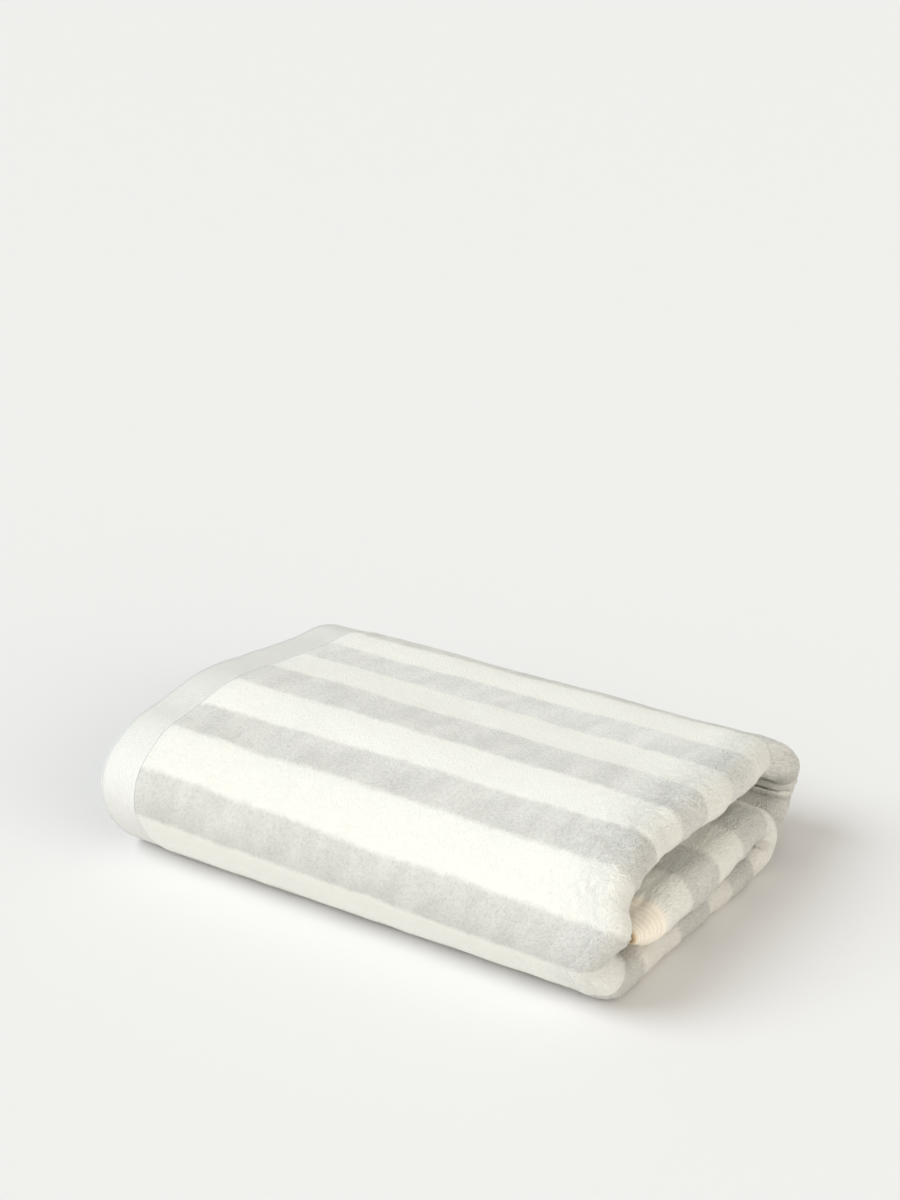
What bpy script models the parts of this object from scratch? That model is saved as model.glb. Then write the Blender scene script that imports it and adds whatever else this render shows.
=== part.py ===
"""Folded hand towel: one striped velour terry cloth, 55 cm wide and 100 cm long, lying folded on a shelf.

The cloth is folded across in half twice, into a pack of four layers about 26 cm long. Its two hems lie at the
left end (-X) and its rolled turns at the right end (+X). The pack is then folded in three along its length: a top
panel, round the front (-Y) to a bottom panel that rests on the surface, and round the back fold to a middle
panel that ends inside. The top panel's free edge hangs down behind. The cloth is one solid: one back-and-forth
section of its layers, carried along the path of the folds.

Units are metres, +Z is up, and the origin is at the bottom centre.
"""

from collections import namedtuple
from math import cos, pi, sin

import bmesh
import bpy
from mathutils import Vector

NAME = "towel"
MM = 0.001

PACK_LENGTH = 0.250        # folded length, left end to right end, before each panel's own reach
HEM_REACH = 0.005          # how far the hem stands out past the pack's left end
CLOTH = 0.0030             # thickness of the velour terry
HEM_CLOTH = 0.0020         # thickness of the flat-woven hem
HEM_WIDTH = 0.020
HEM_STEP = 0.06            # share of the hem's width in which the pile rises to its full thickness

TURN_STEPS = 8             # steps round the outer turn, half as many round the inner ones
RUN_STEPS = 5              # steps along a straight layer

RIPPLE_HEIGHT = 0.0007     # gentle unevenness of the panels
RIPPLE_LENGTH = 0.090
RIPPLE_WIDTH = 0.070
RIPPLE_FADE = 0.050        # height above the surface below which the unevenness fades out

# The pack's middle along the path of the folds, from the free edge behind to the selvage inside.
# y and z, and the pitch of the four layers, are in mm at the left and the right end.
# reach is how far the right end's turn stands past the pack, in mm.
Fold = namedtuple("Fold", "place steps left_y left_z left_pitch right_y right_z right_pitch reach")
FOLDS = (
    Fold("free edge", 2, 157, 18, 4.6, 156, 8, 4.4, 1),
    Fold("back drop", 3, 164, 31, 4.8, 167, 24, 4.6, 3),
    Fold("back bend", 3, 160.5, 43, 4.9, 164, 38, 4.8, 2),
    Fold("back of top", 3, 146, 49, 5.2, 149, 46.5, 5.2, -3),
    Fold("top behind", 2, 123, 50, 5.5, 120, 50.5, 5.4, 0),
    Fold("top middle", 2, 87, 54.5, 5.8, 83, 54, 5.7, 3),
    Fold("top crown", 2, 51, 58, 6.0, 47, 57, 5.7, 3),
    Fold("top front", 2, 22, 54.5, 6.0, 19, 55.5, 5.7, 4),
    Fold("shoulder", 3, 2, 52, 5.8, -2.5, 50.5, 5.7, 7),
    Fold("front above", 3, -12.5, 42.5, 5.6, -15, 37, 5.7, 12),
    Fold("front face", 3, -14, 31.5, 5.4, -15, 26.5, 5.5, 4),
    Fold("front below", 3, -5.5, 18, 5.4, -8, 17, 5.2, 7),
    Fold("toe", 2, 7.5, 9.6, 5.3, 6.5, 9.2, 4.6, 5),
    Fold("base front", 2, 25, 9.2, 5.3, 25, 7.0, 3.8, 4),
    Fold("base middle", 2, 70, 9.2, 5.3, 70, 6.6, 3.6, 4),
    Fold("base back", 3, 121, 8.5, 4.8, 121, 6.6, 3.6, 5),
    Fold("back fold below", 3, 131.5, 11.8, 4.2, 131.3, 9.5, 3.6, 6),
    Fold("back fold", 3, 134.8, 19.8, 4.1, 134.2, 16.5, 3.6, 7),
    Fold("back fold above", 3, 131.5, 27.8, 4.2, 131.3, 23.5, 3.7, 6),
    Fold("middle back", 2, 121, 31.1, 4.5, 121, 26.4, 4.2, 7),
    Fold("middle layer", 2, 70, 32.5, 5.6, 70, 25.5, 5.7, 9),
    Fold("middle front", 2, 40, 32, 5.8, 38, 25.5, 5.5, 9),
    Fold("selvage", 0, 16, 31, 5.4, 11, 28, 4.4, 7),
)

# Levels of the layers in the pack, in pitches from its middle, the outermost first.
OUTER, SECOND, THIRD, INNERMOST = 1.5, 0.5, -0.5, -1.5
# Where the turns and hems lie, in pitches in from the pack's ends.
INNER_TURN_INSET = 1.65
LEFT_TURN_INSET = 1.3
SECOND_HEM_INSET = 0.6
HEM_DROOP = 0.1            # how far the outer hem's edge droops, in pitches

# along: 0 at the left end, 1 at the right end. inset: pitches along X from there. level: pitches from the middle.
# side_x and side_level: the direction of the cloth's outer side. cloth: thickness there.
Point = namedtuple("Point", "along inset level side_x side_level cloth")
Path = namedtuple("Path", "y z pitch reach")


def straight(start, end, level, side, steps, first=1):
    """Points of a straight layer between two (along, inset) places, without its ends."""
    points = []
    for step in range(first, steps):
        share = step / steps
        along = start[0] + (end[0] - start[0]) * share
        inset = start[1] + (end[1] - start[1]) * share
        points.append(Point(along, inset, level, 0, side, CLOTH))
    return points


def turn(along, inset, level, radius, start, sweep, side, steps):
    """Points round a turn of the cloth, from the angle start through sweep."""
    points = []
    for step in range(steps + 1):
        angle = start + sweep * step / steps
        points.append(Point(along, inset + radius * cos(angle), level + radius * sin(angle),
                            side * cos(angle), side * sin(angle), CLOTH))
    return points


def section():
    """The cloth's run through the pack: hem, outer layer, turn, and back and forth to the other hem."""
    hem = HEM_WIDTH / PACK_LENGTH
    pile = hem * (1 + HEM_STEP)
    woven = hem * (1 - HEM_STEP)
    half_turn = TURN_STEPS // 2
    points = [
        Point(0, 0, OUTER - HEM_DROOP, 0, 1, HEM_CLOTH),
        Point(hem / 2, 0, OUTER - HEM_DROOP / 4, 0, 1, HEM_CLOTH),
        Point(woven, 0, OUTER, 0, 1, HEM_CLOTH),
        Point(pile, 0, OUTER, 0, 1, CLOTH),
    ]
    points += straight((pile, 0), (1, -OUTER), OUTER, 1, RUN_STEPS)
    points += turn(1, -OUTER, 0, OUTER, pi / 2, -pi, 1, TURN_STEPS)
    points += straight((1, -OUTER), (0, LEFT_TURN_INSET), INNERMOST, -1, RUN_STEPS)
    points += turn(0, LEFT_TURN_INSET, (THIRD + INNERMOST) / 2, SECOND, -pi / 2, -pi, 1, half_turn)
    points += straight((0, LEFT_TURN_INSET), (1, -INNER_TURN_INSET), THIRD, 1, RUN_STEPS)
    points += turn(1, -INNER_TURN_INSET, 0, SECOND, -pi / 2, pi, -1, half_turn)
    points += straight((1, -INNER_TURN_INSET), (pile, SECOND_HEM_INSET), SECOND, -1, RUN_STEPS)
    points += [
        Point(pile, SECOND_HEM_INSET, SECOND, 0, -1, CLOTH),
        Point(woven, SECOND_HEM_INSET, SECOND, 0, -1, HEM_CLOTH),
        Point(hem / 2, SECOND_HEM_INSET, SECOND, 0, -1, HEM_CLOTH),
        Point(0, SECOND_HEM_INSET, SECOND, 0, -1, HEM_CLOTH),
    ]
    return points


def smooth_path(rows, steps):
    """A smooth curve through the rows, spaced by the root of their distance so that tight folds stay round."""
    rows = [Vector(row) for row in rows]
    rows = [rows[0] * 2 - rows[1]] + rows + [rows[-1] * 2 - rows[-2]]
    gaps = [(b - a).to_2d().length ** 0.5 for a, b in zip(rows, rows[1:])]
    points = []
    for i in range(1, len(rows) - 2):
        before, start, end, after = rows[i - 1:i + 3]
        gap_before, gap, gap_after = gaps[i - 1:i + 2]
        leave = ((start - before) / gap_before - (end - before) / (gap_before + gap) + (end - start) / gap) * gap
        arrive = ((end - start) / gap - (after - start) / (gap + gap_after) + (after - end) / gap_after) * gap
        for step in range(steps[i - 1]):
            t = step / steps[i - 1]
            points.append(start * (2 * t**3 - 3 * t**2 + 1) + leave * (t**3 - 2 * t**2 + t)
                          + end * (3 * t**2 - 2 * t**3) + arrive * (t**3 - t**2))
    points.append(rows[-2])
    return [Path(*point) for point in points]


def fold_paths():
    """The path of the folds at the left end and at the right end."""
    steps = [fold.steps for fold in FOLDS]
    left = [(f.left_y * MM, f.left_z * MM, f.left_pitch * MM, 0) for f in FOLDS]
    right = [(f.right_y * MM, f.right_z * MM, f.right_pitch * MM, f.reach * MM) for f in FOLDS]
    return smooth_path(left, steps), smooth_path(right, steps)


def between(a, b, share):
    return a + (b - a) * share


def place(point, side, index, left, right):
    """Where a point of the section lies at one step of the path. side is 1 outside and -1 inside."""
    here, there = left[index], right[index]
    lead, trail = min(index + 1, len(left) - 1), max(index - 1, 0)
    pitch = there.pitch if point.along > 0.5 else here.pitch
    offset = side * point.cloth / 2

    left_end = -PACK_LENGTH / 2 - HEM_REACH
    right_end = PACK_LENGTH / 2 + there.reach - CLOTH / 2
    x = between(left_end, right_end, point.along) + point.inset * pitch + point.side_x * offset

    share = x / PACK_LENGTH + 0.5
    y = between(here.y, there.y, share)
    z = between(here.z, there.z, share)
    rise = point.level * between(here.pitch, there.pitch, share) + point.side_level * offset
    ripple = RIPPLE_HEIGHT * sin(x * 2 * pi / RIPPLE_LENGTH) * sin(y * 2 * pi / RIPPLE_WIDTH)
    rise += ripple * min(1, (z / RIPPLE_FADE)**2)

    along_y = between(left[lead].y - left[trail].y, right[lead].y - right[trail].y, share)
    along_z = between(left[lead].z - left[trail].z, right[lead].z - right[trail].z, share)
    length = (along_y**2 + along_z**2) ** 0.5
    y += rise * along_z / length
    z -= rise * along_y / length
    return Vector((x, y, max(z, 0)))


def cloth_mesh():
    """The cloth's outline at each step of the path, joined step to step and closed at both selvages."""
    left, right = fold_paths()
    points = section()
    last = len(points) - 1
    bm = bmesh.new()
    rings = []
    for index in range(len(left)):
        outside = [bm.verts.new(place(point, 1, index, left, right)) for point in points]
        inside = [bm.verts.new(place(point, -1, index, left, right)) for point in points]
        rings.append(outside + inside[::-1])

    around = len(rings[0])
    for ring, following in zip(rings, rings[1:]):
        for i in range(around):
            j = (i + 1) % around
            bm.faces.new((ring[i], ring[j], following[j], following[i]))
    for ring in (rings[0], rings[-1]):
        for i in range(last):
            bm.faces.new((ring[i], ring[i + 1], ring[around - 2 - i], ring[around - 1 - i]))
    bmesh.ops.recalc_face_normals(bm, faces=bm.faces)
    bmesh.ops.triangulate(bm, faces=bm.faces)

    low = Vector([min(vert.co[axis] for vert in bm.verts) for axis in range(3)])
    high = Vector([max(vert.co[axis] for vert in bm.verts) for axis in range(3)])
    bottom_centre = Vector(((low.x + high.x) / 2, (low.y + high.y) / 2, low.z))
    bmesh.ops.translate(bm, verts=bm.verts, vec=-bottom_centre)

    mesh = bpy.data.meshes.new(NAME)
    bm.to_mesh(mesh)
    bm.free()
    mesh.shade_smooth()
    return mesh


def cloth_material():
    material = bpy.data.materials.new("velour_terry")
    material.use_nodes = True
    shader = material.node_tree.nodes["Principled BSDF"]
    shader.inputs["Base Color"].default_value = (0.80, 0.80, 0.77, 1)
    shader.inputs["Roughness"].default_value = 0.95
    shader.inputs["Metallic"].default_value = 0
    return material


def main():
    for thing in list(bpy.data.objects):
        bpy.data.objects.remove(thing, do_unlink=True)
    collection = bpy.data.collections.new("hand_towel")
    bpy.context.scene.collection.children.link(collection)
    towel = bpy.data.objects.new(NAME, cloth_mesh())
    towel.data.materials.append(cloth_material())
    collection.objects.link(towel)


main()
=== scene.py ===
# Folded hand towel of striped velour terry: one thin cloth on the folds of its solid, on a pale floor.
from collections import namedtuple
from math import pi, radians

import bmesh
import bpy
import numpy as np
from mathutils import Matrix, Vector, noise


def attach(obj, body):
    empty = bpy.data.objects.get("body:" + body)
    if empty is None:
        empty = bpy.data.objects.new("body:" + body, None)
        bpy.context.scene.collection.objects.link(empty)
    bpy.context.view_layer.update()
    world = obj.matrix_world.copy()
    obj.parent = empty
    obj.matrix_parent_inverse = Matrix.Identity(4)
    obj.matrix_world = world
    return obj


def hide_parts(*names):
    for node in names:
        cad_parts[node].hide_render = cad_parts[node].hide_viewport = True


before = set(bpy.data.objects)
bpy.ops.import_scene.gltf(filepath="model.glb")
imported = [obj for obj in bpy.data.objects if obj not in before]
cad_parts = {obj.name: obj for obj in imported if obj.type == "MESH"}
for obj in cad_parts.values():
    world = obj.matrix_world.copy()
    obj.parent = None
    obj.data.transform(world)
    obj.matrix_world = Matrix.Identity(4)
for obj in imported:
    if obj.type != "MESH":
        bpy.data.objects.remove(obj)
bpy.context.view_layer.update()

mm = 0.001
print("frame loaded")


# Shader maths written as expressions

class Wire:      # a socket of a material's node tree, with the maths that the materials use
    def __init__(self, tree, socket=None):
        self.tree = tree
        self.socket = socket

    def node(self, kind, settings, values, output=0):      # any node: settings first, then its sockets
        made = self.tree.nodes.new(kind)
        for name, value in settings.items():
            setattr(made, name, value)
        for name, value in values.items():
            if isinstance(value, Wire):
                self.tree.links.new(value.socket, made.inputs[name])
            else:
                made.inputs[name].default_value = value
        return Wire(self.tree, made.outputs[output])

    def maths(self, operation, *values):
        return self.node("ShaderNodeMath", {"operation": operation}, dict(enumerate(values)))

    def __add__(self, other):
        return self.maths("ADD", self, other)

    __radd__ = __add__

    def __sub__(self, other):
        return self.maths("SUBTRACT", self, other)

    def __rsub__(self, other):
        return self.maths("SUBTRACT", other, self)

    def __mul__(self, other):
        return self.maths("MULTIPLY", self, other)

    __rmul__ = __mul__

    def __truediv__(self, other):
        return self.maths("DIVIDE", self, other)

    def mix(self, first, second):      # a number between two, by this mask
        return first + (second - first) * self

    def size(self):      # the value without its sign
        return self.maths("ABSOLUTE", self)

    def bounce(self, length):      # up and down between 0 and length
        return self.maths("PINGPONG", self, length)

    def ramp(self, low, high):      # 0 below low, 1 above high, smooth between
        settings = {"interpolation_type": "SMOOTHSTEP"}
        return self.node("ShaderNodeMapRange", settings, {"Value": self, "From Min": low, "From Max": high})

    def band(self, start, full, fade, end):      # rises from start to full, and falls from fade to end
        return self.ramp(start, full) * (1 - self.ramp(fade, end))

    def blend(self, first, second):      # a colour between two, by this mask
        return self.node("ShaderNodeMix", {"data_type": "RGBA"}, {0: self, 6: first, 7: second}, output=2)

    def speckle(self, place, scale, detail=2.0, rough=0.5):      # noise from 0 to 1 about 0.5
        values = {"Vector": place, "Scale": scale, "Detail": detail, "Roughness": rough}
        return self.node("ShaderNodeTexNoise", {}, values)


def startMaterial(name):
    material = bpy.data.materials.new(name)
    material.use_nodes = True
    return material, Wire(material.node_tree), material.node_tree.nodes["Principled BSDF"]


def plug(tree, wire, shader, socketName):
    tree.links.new(wire.socket, shader.inputs[socketName])


# The fold plan: the pack's middle along the path of the folds, from the free edge behind to the selvage
# inside. y and z, and the pitch of the four layers, are given at the left and the right end. reach is how far
# the right end's turn stands past the pack, across is the place in the cloth's width, and step is the mesh's
# spacing. slip is how much further on in the width the cloth is at the right end. All are in mm.

foldFields = "place leftY leftZ leftPitch rightY rightZ rightPitch reach across step slip"
Fold = namedtuple("Fold", foldFields, defaults=(0,))
folds = (
    Fold("free edge", 157, 18, 4.6, 156, 8, 4.4, -3, 6, 1.8),
    Fold("back drop", 164, 31, 4.8, 167, 24, 4.6, -1, 27, 1.8),
    Fold("back bend", 160.5, 43, 4.9, 164, 38, 4.8, 2, 63, 1.8),
    Fold("back of top", 146, 49, 5.2, 149, 46.5, 5.2, -3, 73.5, 1.8),
    Fold("top behind", 123, 50, 5.5, 120, 50.5, 5.4, 0, 103.5, 1.8),
    Fold("top middle", 87, 54.5, 5.8, 83, 54, 5.7, 3, 139.5, 1.8),
    Fold("top crown", 51, 58, 6.0, 47, 57, 5.7, 3, 176.3, 1.8),
    Fold("top front", 22, 54.5, 6.0, 19, 55.5, 5.7, 4, 206, 1.8),
    Fold("shoulder", 2, 52, 5.8, -2.5, 50.5, 5.7, 7, 231, 1.8),
    Fold("front above", -12.5, 42.5, 5.6, -15, 37, 5.7, 12, 254, 1.8),
    Fold("front face", -14, 31.5, 5.4, -15, 26.5, 5.5, 4, 275, 1.8),
    Fold("front below", -6, 17.2, 5.4, -8.5, 16.2, 5.2, 7, 294, 1.8, 2),
    Fold("toe", 5, 8.2, 5.3, 4, 7.4, 4.6, 5, 310, 1.8, 3),
    Fold("base front", 25, 9.2, 5.3, 25, 7.0, 3.8, 4, 330, 4),
    Fold("base middle", 70, 9.2, 5.3, 70, 6.6, 3.6, 4, 369, 4),
    Fold("base back", 121, 8.5, 4.8, 121, 6.6, 3.6, 5, 428, 2.5),
    Fold("back fold below", 131.5, 11.8, 4.2, 131.3, 9.5, 3.6, 6, 435, 2.2),
    Fold("back fold", 134.8, 19.8, 4.1, 134.2, 16.5, 3.6, 7, 441, 2.2),
    Fold("back fold above", 131.5, 27.8, 4.2, 131.3, 23.5, 3.7, 6, 446, 2.2),
    Fold("middle back", 121, 31.1, 4.5, 121, 26.4, 4.2, 7, 453, 4),
    Fold("middle layer", 70, 32.5, 5.6, 70, 25.5, 5.7, 9, 504, 4),
    Fold("middle front", 40, 32, 5.8, 38, 25.5, 5.5, 9, 534, 3),
    Fold("end gathers", 24, 31.5, 4.6, 18, 26, 4.2, 8.5, 542, 1.8),
    Fold("selvage", 17, 31, 1.9, 7, 26, 1.4, 5, 549, 1.5),
)

towel = {
    "packLength": 0.250,      # folded length before each panel's own reach
    "packCentre": (0.0035, 0.0751),      # the fold plan's middle, which is the frame's origin
    "cloth": 0.0030,
    "hemReach": 0.005,      # how far the hem stands out past the pack's left end
    "hemWidth": 0.020,
    "hemThinness": 0.45,      # thickness of the woven hem and selvage, as a share of the cloth's
    "pileRise": 0.0045,      # the pile rises from the hem over this length
    "selvageWidth": 0.004,
    "selvageRise": 0.0015,      # the pile rises from the selvage over this length
    "finerFrom": 0.84,      # the mesh is finer from this share of the pack to the rolls
    "openFrom": 0.080,      # the pile opens from this far right of the middle
    "openOver": 0.035,      # and is fully open this much further on
}

# The layers' levels, in pitches from the pack's middle, and the places of the turns, in pitches from its ends.
levels = {"outer": 1.5, "second": 0.5, "third": -0.5, "innermost": -1.5}
insets = {"innerTurn": 1.65, "leftTurn": 1.3, "secondHem": 0.6, "hemDroop": 0.1}

# A point of the section. along: 0 at the left end, 1 at the right. inset: pitches along X from there.
Point = namedtuple("Point", "along inset level")


def layer(start, end, level, steps):      # points of a straight layer between two (along, inset) places
    shares = [step / steps for step in range(1, steps)]
    return [Point(*(a + (b - a) * share for a, b in zip(start, end)), level) for share in shares]


def turn(along, inset, level, radius, start, sweep, steps):      # points round a turn of the cloth
    angles = [start + sweep * step / steps for step in range(steps + 1)]
    return [Point(along, inset + radius * np.cos(a), level + radius * np.sin(a)) for a in angles]


def clothSection():      # the cloth's run through the pack, from the outer hem to the second one
    outer, second = levels["outer"], levels["second"]
    hem = towel["hemWidth"] / towel["packLength"]
    hemSteps, outerSteps, finerSteps, turnSteps, hiddenSteps, hiddenTurn = 8, 56, 30, 18, 10, 8
    left, right, inner = (0, insets["leftTurn"]), (1, -outer), (1, -insets["innerTurn"])
    finer = (towel["finerFrom"], 0)
    points = []
    for step in range(hemSteps + 1):
        share = step / hemSteps
        points.append(Point(hem * share, 0, outer - insets["hemDroop"] * (1 - share) ** 2))
    points += layer((hem, 0), finer, outer, outerSteps)
    points += [Point(*finer, outer)] + layer(finer, right, outer, finerSteps)
    points += turn(*right, 0, outer, pi / 2, -pi, turnSteps)
    points += layer(right, left, levels["innermost"], hiddenSteps * 2)
    points += turn(*left, (levels["third"] + levels["innermost"]) / 2, second, -pi / 2, -pi, hiddenTurn)
    points += layer(left, inner, levels["third"], hiddenSteps)
    points += turn(*inner, 0, second, -pi / 2, pi, hiddenTurn)
    points += layer(inner, (hem, insets["secondHem"]), second, hiddenSteps)
    for step in range(hemSteps + 1):
        points.append(Point(hem * (1 - step / hemSteps), insets["secondHem"], second))
    return points


def smoothRow(rows, count):      # a smooth curve through rows, count points a row, tight folds kept round
    rows = np.array([rows[0] * 2 - rows[1], *rows, rows[-1] * 2 - rows[-2]])
    gaps = np.linalg.norm(np.diff(rows[:, :2], axis=0), axis=1) ** 0.5
    points = []
    for i in range(1, len(rows) - 2):
        before, start, end, after = rows[i - 1:i + 3]
        gapBefore, gap, gapAfter = gaps[i - 1:i + 2]
        slope = (end - start) / gap
        leave = ((start - before) / gapBefore - (end - before) / (gapBefore + gap) + slope) * gap
        arrive = (slope - (after - start) / (gap + gapAfter) + (after - end) / gapAfter) * gap
        for t in np.arange(count) / count:
            points.append(start * (2 * t**3 - 3 * t**2 + 1) + leave * (t**3 - 2 * t**2 + t)
                          + end * (3 * t**2 - 2 * t**3) + arrive * (t**3 - t**2))
    return np.array([*points, rows[-2]])


def foldPath():      # y, z, pitch, reach and across at each step of the path, at the left and the right end
    fine = 24      # points from one row of the fold plan to the next, before they are spaced
    left = smoothRow([np.array([f.leftY, f.leftZ, f.leftPitch, 0, f.across]) for f in folds], fine)
    right = smoothRow([np.array([f.rightY, f.rightZ, f.rightPitch, f.reach, f.across + f.slip])
                       for f in folds], fine)
    places = np.arange(len(left)) / fine
    spacing = np.interp(places, np.arange(len(folds)), [f.step for f in folds])
    middle = (left + right)[:, :2] / 2
    moves = np.linalg.norm(np.diff(middle, axis=0), axis=1) / ((spacing[1:] + spacing[:-1]) / 2)
    run = np.concatenate([[0], np.cumsum(moves)])
    picks = np.linspace(0, run[-1], int(round(run[-1])) + 1)
    return [np.stack([np.interp(picks, run, column) for column in side.T], 1) * mm for side in (left, right)]


# Soft troughs and ridges: x and the place across the cloth, how long and wide and how deep they are, in mm,
# and their turn in degrees.
Crease = namedtuple("Crease", "place x across length width depth turn")
creases = (
    Crease("front dent", -55, 250, 35, 12, -0.9, 70),
    Crease("front middle", 20, 262, 30, 10, -0.7, 95),
    Crease("corner fold", 127, 302, 9, 2.2, -2.0, 3),
    Crease("corner edge", 119, 288, 20, 2.4, 1.0, 90),
    Crease("top hollow", -70, 195, 40, 14, -0.6, 60),
    Crease("top line", -4, 137, 16, 3, -0.45, 55),
    Crease("top wave", 40, 150, 45, 16, -0.6, 75),
    Crease("roll pinch", 118, 214, 14, 4, -0.9, 25),
    Crease("roll dent", 122, 168, 12, 4, -0.8, -20),
    Crease("drop crevice", 118, 26, 34, 2.2, -3.4, 2),
    Crease("drop pinch", 126, 47, 16, 4, -1.3, 30),
    Crease("inner roll dent", 126, 505, 10, 4, -0.8, 20),
)

# Gentle waves of the panels, which fade out below a height. All unevenness fades out below the footing.
waves = {"height": 0.0003, "length": 0.090, "width": 0.070, "fade": 0.050, "footing": 0.012}
lumps = ((0.013, 0.00030), (0.0055, 0.00016))      # size and height of the pile's soft lumps
tufts = ((0.0036, 0.00062), (0.0019, 0.00028))      # the same where the pile stands open, round the rolls
rollEdge = ((0.014, 0.0012), (0.0040, 0.0008))      # size and depth of the unevenness of the rolls' ends
seeds = {"lumps": 3.7, "tufts": 5.1, "rollEdge": 8.2}
tuftLean = 0.7      # how far the tufts' pattern shifts with height, so that the layers differ


def roughness(x, across, sizes, seed):      # smooth noise of a few sizes over the cloth
    total = np.zeros(np.broadcast(x, across).shape)
    flatX, flatAcross = (part.ravel() for part in np.broadcast_arrays(x, across))
    for size, height in sizes:
        values = [noise.noise(Vector((a / size, b / size, seed))) for a, b in zip(flatX, flatAcross)]
        total += np.array(values).reshape(total.shape) * height
    return total


def unevenness(x, y, z, across):      # how far the cloth stands off its fold there
    opened = np.clip((x - towel["openFrom"]) / towel["openOver"], 0, 1)
    rise = roughness(x, across, lumps, seeds["lumps"])
    rise = rise + roughness(x + z * tuftLean, across, tufts, seeds["tufts"]) * opened
    for crease in creases:
        aside, up = x / mm - crease.x, across / mm - crease.across
        cosine, sine = np.cos(radians(crease.turn)), np.sin(radians(crease.turn))
        alongIt, acrossIt = aside * cosine + up * sine, up * cosine - aside * sine
        shape = np.exp(-(alongIt / crease.length) ** 2 - (acrossIt / crease.width) ** 2)
        rise = rise + crease.depth * mm * shape
    wave = waves["height"] * np.sin(x * 2 * pi / waves["length"]) * np.sin(y * 2 * pi / waves["width"])
    return rise * np.minimum(1, z / waves["footing"]) + wave * np.minimum(1, (z / waves["fade"]) ** 2)


def clothPlaces():      # the middle of the cloth at each step of the path and of the section
    left, right = foldPath()
    points = np.array(clothSection())
    along, inset, level = points[:, 0][None], points[:, 1][None], points[:, 2][None]
    leftY, leftZ, leftPitch, _, leftAcross = (column[:, None] for column in left.T)
    rightY, rightZ, rightPitch, reach, rightAcross = (column[:, None] for column in right.T)

    length, half = towel["packLength"], towel["cloth"] / 2
    leftEnd = -length / 2 - towel["hemReach"]
    rightEnd = length / 2 + reach - half + roughness(np.zeros(1), rightAcross, rollEdge, seeds["rollEdge"])
    x = leftEnd + (rightEnd - leftEnd) * along + inset * np.where(along > 0.5, rightPitch, leftPitch)
    share = x / length + 0.5
    y = leftY + (rightY - leftY) * share
    z = leftZ + (rightZ - leftZ) * share
    across = leftAcross + (rightAcross - leftAcross) * share

    stepY, stepZ = np.gradient(y, axis=0), np.gradient(z, axis=0)
    run = np.hypot(stepY, stepZ)
    rise = level * (leftPitch + (rightPitch - leftPitch) * share) + unevenness(x, y, z, across)
    y = y + rise * stepZ / run
    z = np.maximum(z - rise * stepY / run, half)
    centreX, centreY = towel["packCentre"]
    return np.stack([x - centreX, y - centreY, z], -1), across


def makeTowel(places, across, distance):
    rows, columns = across.shape

    bm = bmesh.new()
    bmesh.ops.create_grid(bm, x_segments=columns - 1, y_segments=rows - 1, size=0.5)
    for vert in bm.verts:      # each grid point takes its place on the folded cloth
        column = int(round((vert.co.x + 0.5) * (columns - 1)))
        row = int(round((vert.co.y + 0.5) * (rows - 1)))
        vert.index = row * columns + column
        vert.co = places[row, column]
    uv = bm.loops.layers.uv.new("cloth")
    for face in bm.faces:
        for loop in face.loops:
            row, column = divmod(loop.vert.index, columns)
            loop[uv].uv = (distance[column], across[row, column])
    bm.verts.sort()
    bmesh.ops.reverse_faces(bm, faces=bm.faces)

    mesh = bpy.data.meshes.new("towelCloth")
    bm.to_mesh(mesh)
    bm.free()
    mesh.shade_smooth()
    piece = bpy.data.objects.new("towelCloth", mesh)
    bpy.context.scene.collection.objects.link(piece)

    pile = piece.vertex_groups.new(name="pile")
    edge = np.minimum(distance, distance[-1] - distance)[None] - towel["hemWidth"]
    side = np.minimum(across - across.min(), across.max() - across) - towel["selvageWidth"]
    rise = np.sin(np.clip(edge / towel["pileRise"], 0, 1) * pi / 2)
    weight = rise * np.clip(side / towel["selvageRise"], 0, 1)
    for index, value in enumerate(weight.ravel()):
        pile.add([index], float(value), "REPLACE")
    wall = piece.modifiers.new("thickness", "SOLIDIFY")
    wall.thickness = towel["cloth"]
    wall.offset = 0
    wall.vertex_group = "pile"
    wall.thickness_vertex_group = towel["hemThinness"]
    print("towel cloth", rows, "by", columns, "points,", round(float(distance[-1]), 3), "m long")
    return piece


# Materials

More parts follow.
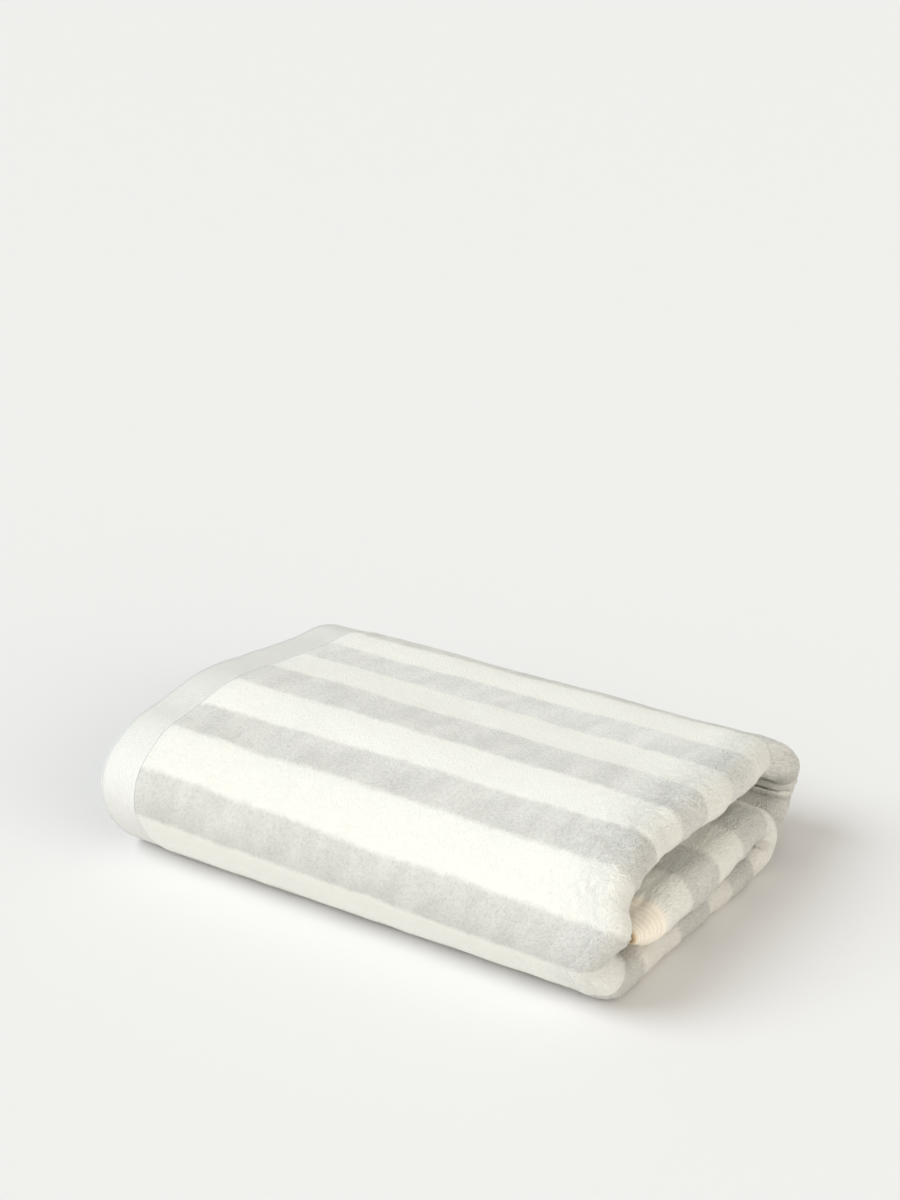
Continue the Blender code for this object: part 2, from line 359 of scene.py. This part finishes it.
velour = {
    "white": (0.94, 0.935, 0.875, 1),
    "frontShadedWhite": (0.84, 0.833, 0.773, 1),      # painted shade on the front
    "grey": (0.81, 0.805, 0.762, 1),
    "topLitGrey": (0.90, 0.897, 0.857, 1),      # painted light behind on the top
    "frontShadedGrey": (0.71, 0.703, 0.658, 1),      # painted shade on the front
    "topLitBand": (0.070, 0.100, 0.110, 0.215),      # where the painted light on the top and the painted shade on the front lie, across the cloth
    "frontShadedBand": (0.205, 0.250, 0.275, 0.300),
    "hem": (0.85, 0.847, 0.812, 1),
    "hemStripes": 0.16,      # how much of the stripes shows in the hem
    "selvage": (0.95, 0.885, 0.76, 1),      # the woven edge at the inner roll's end
    "selvageFrom": (0.5385, 0.5405),
    "pinchShade": (0.82, 0.64, 0.43, 1),      # painted warm shade deep in that end's pinched fold
    "pinchShadeFrom": (0.5470, 0.5490),
    "stripeRepeat": 0.050,      # one grey and one white stripe
    "edgeSoftness": 0.0019,
    "edgeWander": 0.0026,
    "edgeNoise": ((900, 0.4), (200, 0.6), (22, 0.9)),      # scale and share of what makes the edges ragged
    "fineGrain": 1900,      # noise scales
    "coarseGrain": 760,
    "brushing": 75,
    "grainStretch": (1.0, 0.55, 1.0),
    "brushStretch": (1.0, 0.4, 1.0),
    "brushTurn": (0, 0, 0.6),
    "grainDetail": (2.0, 0.6),
    "brushDetail": (3.0, 0.55),
    "pits": (0.30, 0.58),      # from the pits of the grain to its tips
    "pitDark": {"all": 0.03, "grey": 0.15, "open": 0.06},      # how much darker the pits of the pile are
    "patches": (0.30, 0.70),
    "patchDark": {"all": 0.012, "grey": 0.10},      # and the brushed patches
    "hemStep": (-0.0005, 0.0002),      # where the hem's look gives way to the pile's, from the hem's width
    "seamInset": 0.0009,      # from the pile to the middle of the seam
    "seamFade": (0.00015, 0.00055),
    "rib": 0.0012,      # from one rib of the woven hem to the next
    "ribDark": 0.07,
    "endRibDark": 0.09,
    "stitch": 0.0030,
    "stitchGap": (0.15, 0.45),
    "stitchDark": 0.05,
    "openFrom": 0.035,      # the pile opens round the rolls, from this far before the turn
    "openFull": 0.006,      # and is fully open this near to it
    "relief": 0.0012,      # height of the bump, and what each part makes of it
    "reliefs": {"pile": 0.9, "open": 1.3, "ribs": 0.26, "endRibs": 0.30, "seam": 0.08},
    "finish": {"Roughness": 0.95, "Specular IOR Level": 0.2, "Sheen Weight": 0.12, "Sheen Roughness": 0.4},
}


def velourTerry(clothLength, turnAt):
    material, start, shader = startMaterial("velour_terry")
    tree = material.node_tree
    place = start.node("ShaderNodeUVMap", {"uv_map": "cloth"}, {})
    along = start.node("ShaderNodeSeparateXYZ", {}, {"Vector": place})
    across = start.node("ShaderNodeSeparateXYZ", {}, {"Vector": place}, output=1)

    # Stripes run along the cloth; the pile makes their edges soft and a little ragged.
    noises = [start.speckle(place, scale) * share for scale, share in velour["edgeNoise"]]
    middle = sum(share for _, share in velour["edgeNoise"]) / 2
    ragged = sum(noises[1:], noises[0]) - middle
    quarter = velour["stripeRepeat"] / 4
    towards = (across + ragged * velour["edgeWander"] * 2 - quarter).bounce(quarter * 2)
    greyness = 1 - towards.ramp(quarter - velour["edgeSoftness"], quarter + velour["edgeSoftness"])

    # The pile stands open round the rolls at the right end, and lies brushed in patches elsewhere.
    opened = 1 - (along - turnAt).size().ramp(velour["openFull"], velour["openFrom"])
    rowPlace = start.node("ShaderNodeMapping", {}, {"Vector": place, "Scale": velour["grainStretch"]})
    brushing = {"Vector": place, "Rotation": velour["brushTurn"], "Scale": velour["brushStretch"]}
    brushPlace = start.node("ShaderNodeMapping", {}, brushing)
    fine = start.speckle(rowPlace, velour["fineGrain"], *velour["grainDetail"])
    coarse = start.speckle(rowPlace, velour["coarseGrain"], *velour["grainDetail"])
    brushed = start.speckle(brushPlace, velour["brushing"], *velour["brushDetail"])
    grain = fine * 0.5 + coarse * 0.5
    pitDark, patchDark = velour["pitDark"], velour["patchDark"]
    pitShade = greyness * pitDark["grey"] + opened * pitDark["open"] + pitDark["all"]
    pits = (1 - grain.ramp(*velour["pits"])) * pitShade
    patches = (1 - brushed.ramp(*velour["patches"])) * (greyness * patchDark["grey"] + patchDark["all"])
    shade = 1 - pits - patches
    # Painted light makes the grey lighter behind on the top; painted shade makes both colours darker down the
    # front.
    topLightMask = across.band(*velour["topLitBand"])
    frontShadeMask = across.band(*velour["frontShadedBand"]) * (1 - opened)
    greys = frontShadeMask.blend(topLightMask.blend(velour["grey"], velour["topLitGrey"]), velour["frontShadedGrey"])
    whites = frontShadeMask.blend(velour["white"], velour["frontShadedWhite"])
    pileColour = greyness.blend(whites, greys)

    # The woven hems: thinner, ribbed, the stripes only faint in them, with a stitched seam beside the pile.
    fromEdge = along.bounce(clothLength / 2)
    hemMask = 1 - fromEdge.ramp(*(towel["hemWidth"] + step for step in velour["hemStep"]))
    hemColour = (greyness * velour["hemStripes"]).blend(velour["hem"], velour["grey"])
    hemRibs = (along * (2 / velour["rib"])).bounce(1)
    seam = 1 - (fromEdge - (towel["hemWidth"] - velour["seamInset"])).size().ramp(*velour["seamFade"])
    halfStitch = velour["stitch"] / 2
    stitches = seam * (across.bounce(halfStitch) / halfStitch).ramp(*velour["stitchGap"])

    # The selvage at the inner roll's end is woven too, with a painted warm shade where its fold is pinched.
    endMask = across.ramp(*velour["selvageFrom"])
    # painted warm shade deep in the pinched fold, near the turn
    endColour = (across.ramp(*velour["pinchShadeFrom"]) * opened).blend(velour["selvage"], velour["pinchShade"])
    endRibs = (across * (2 / velour["rib"])).bounce(1)

    whole = endMask.blend(hemMask.blend(pileColour, hemColour), endColour)
    woven = (1 - stitches * velour["stitchDark"]) * (1 - endRibs * endMask * velour["endRibDark"])
    shadeAll = hemMask.mix(shade, 1 - hemRibs * velour["ribDark"]) * woven
    shadeColour = start.node("ShaderNodeCombineXYZ", {}, {"X": shadeAll, "Y": shadeAll, "Z": shadeAll})
    colour = start.node("ShaderNodeMix", {"data_type": "RGBA", "blend_type": "MULTIPLY"},
                        {0: 1.0, 6: whole, 7: shadeColour}, output=2)
    plug(tree, colour, shader, "Base Color")

    reliefs = velour["reliefs"]
    pileHeight = grain * (1 - hemMask) * (1 - endMask) * (opened * reliefs["open"] + reliefs["pile"])
    ribDepth = hemRibs * hemMask * reliefs["ribs"] + endRibs * endMask * reliefs["endRibs"]
    height = pileHeight - ribDepth - seam * reliefs["seam"]
    relief = start.node("ShaderNodeBump", {},
                        {"Strength": 1.0, "Distance": velour["relief"], "Height": height})
    plug(tree, relief, shader, "Normal")
    for socketName, value in velour["finish"].items():
        shader.inputs[socketName].default_value = value
    return material


floorPlan = {"reach": 400, "colour": (0.845, 0.835, 0.83, 1), "roughness": 0.9, "gloss": 0.1}


def makeFloor():
    bm = bmesh.new()
    bmesh.ops.create_grid(bm, x_segments=1, y_segments=1, size=floorPlan["reach"])
    mesh = bpy.data.meshes.new("floor")
    bm.to_mesh(mesh)
    bm.free()
    floor = bpy.data.objects.new("floor", mesh)
    bpy.context.scene.collection.objects.link(floor)
    material, _, shader = startMaterial("paleFloor")
    shader.inputs["Base Color"].default_value = floorPlan["colour"]
    shader.inputs["Roughness"].default_value = floorPlan["roughness"]
    shader.inputs["Specular IOR Level"].default_value = floorPlan["gloss"]
    mesh.materials.append(material)


# Light and camera

studio = {
    "key": 1.62,      # a wide soft light from above, the front and the left
    "keyFrom": (-0.50, -0.50, 0.70),
    "keySpread": 40,
    "keyColour": (0.92, 1.0, 1.09),
    "low": 0.66,      # a weaker, broader one from low in front
    "lowFrom": (-0.25, -0.93, 0.22),
    "lowSpread": 70,
    "lowColour": (1.0, 1.0, 1.0),
    "side": 1.62,      # a low, broad light on the rolled end
    "sideFrom": (0.93, -0.30, 0.20),
    "sideSpread": 60,
    "sideColour": (1.12, 1.0, 0.90),
    "fill": 0.505,      # even light from all round
    "fillColour": (1.01, 1.0, 0.92),
}
view = {"place": (0.5107, -0.7925, 0.5055), "down": 22, "turn": 33.24, "lens": 69, "clip": (0.05, 1500)}


def lightStudio():
    for name in ("key", "low", "side"):
        sun = bpy.data.lights.new(name + "Light", "SUN")
        sun.energy = studio[name]
        sun.angle = radians(studio[name + "Spread"])
        sun.color = studio[name + "Colour"]
        lamp = bpy.data.objects.new(name + "Light", sun)
        lamp.rotation_euler = Vector(studio[name + "From"]).to_track_quat("Z", "Y").to_euler()
        bpy.context.scene.collection.objects.link(lamp)
    world = bpy.data.worlds.new("studio")
    world.use_nodes = True
    fill = world.node_tree.nodes["Background"]
    fill.inputs["Color"].default_value = (*studio["fillColour"], 1)
    fill.inputs["Strength"].default_value = studio["fill"]
    bpy.context.scene.world = world
    bpy.context.scene.view_settings.view_transform = "Standard"


def placeCamera():
    lens = bpy.data.cameras.new("camera")
    lens.lens = view["lens"]
    lens.clip_start, lens.clip_end = view["clip"]
    camera = bpy.data.objects.new("camera", lens)
    camera.location = view["place"]
    camera.rotation_euler = (radians(90 - view["down"]), 0, radians(view["turn"]))
    bpy.context.scene.collection.objects.link(camera)
    bpy.context.scene.camera = camera


placeCamera()
lightStudio()
makeFloor()
print("camera, light and floor")

places, across = clothPlaces()
middleRow = places[len(places) // 3]      # a row on the top panel, which gives the length along the cloth
distance = np.concatenate([[0], np.cumsum(np.linalg.norm(np.diff(middleRow, axis=0), axis=1))])
turnAt = float(distance[np.argmax(middleRow[:, 0])])      # where the cloth turns at the right end
towelCloth = makeTowel(places, across, distance)
towelCloth.data.materials.append(velourTerry(float(distance[-1]), turnAt))
print("velour terry")
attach(towelCloth, "root")
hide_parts("towel")
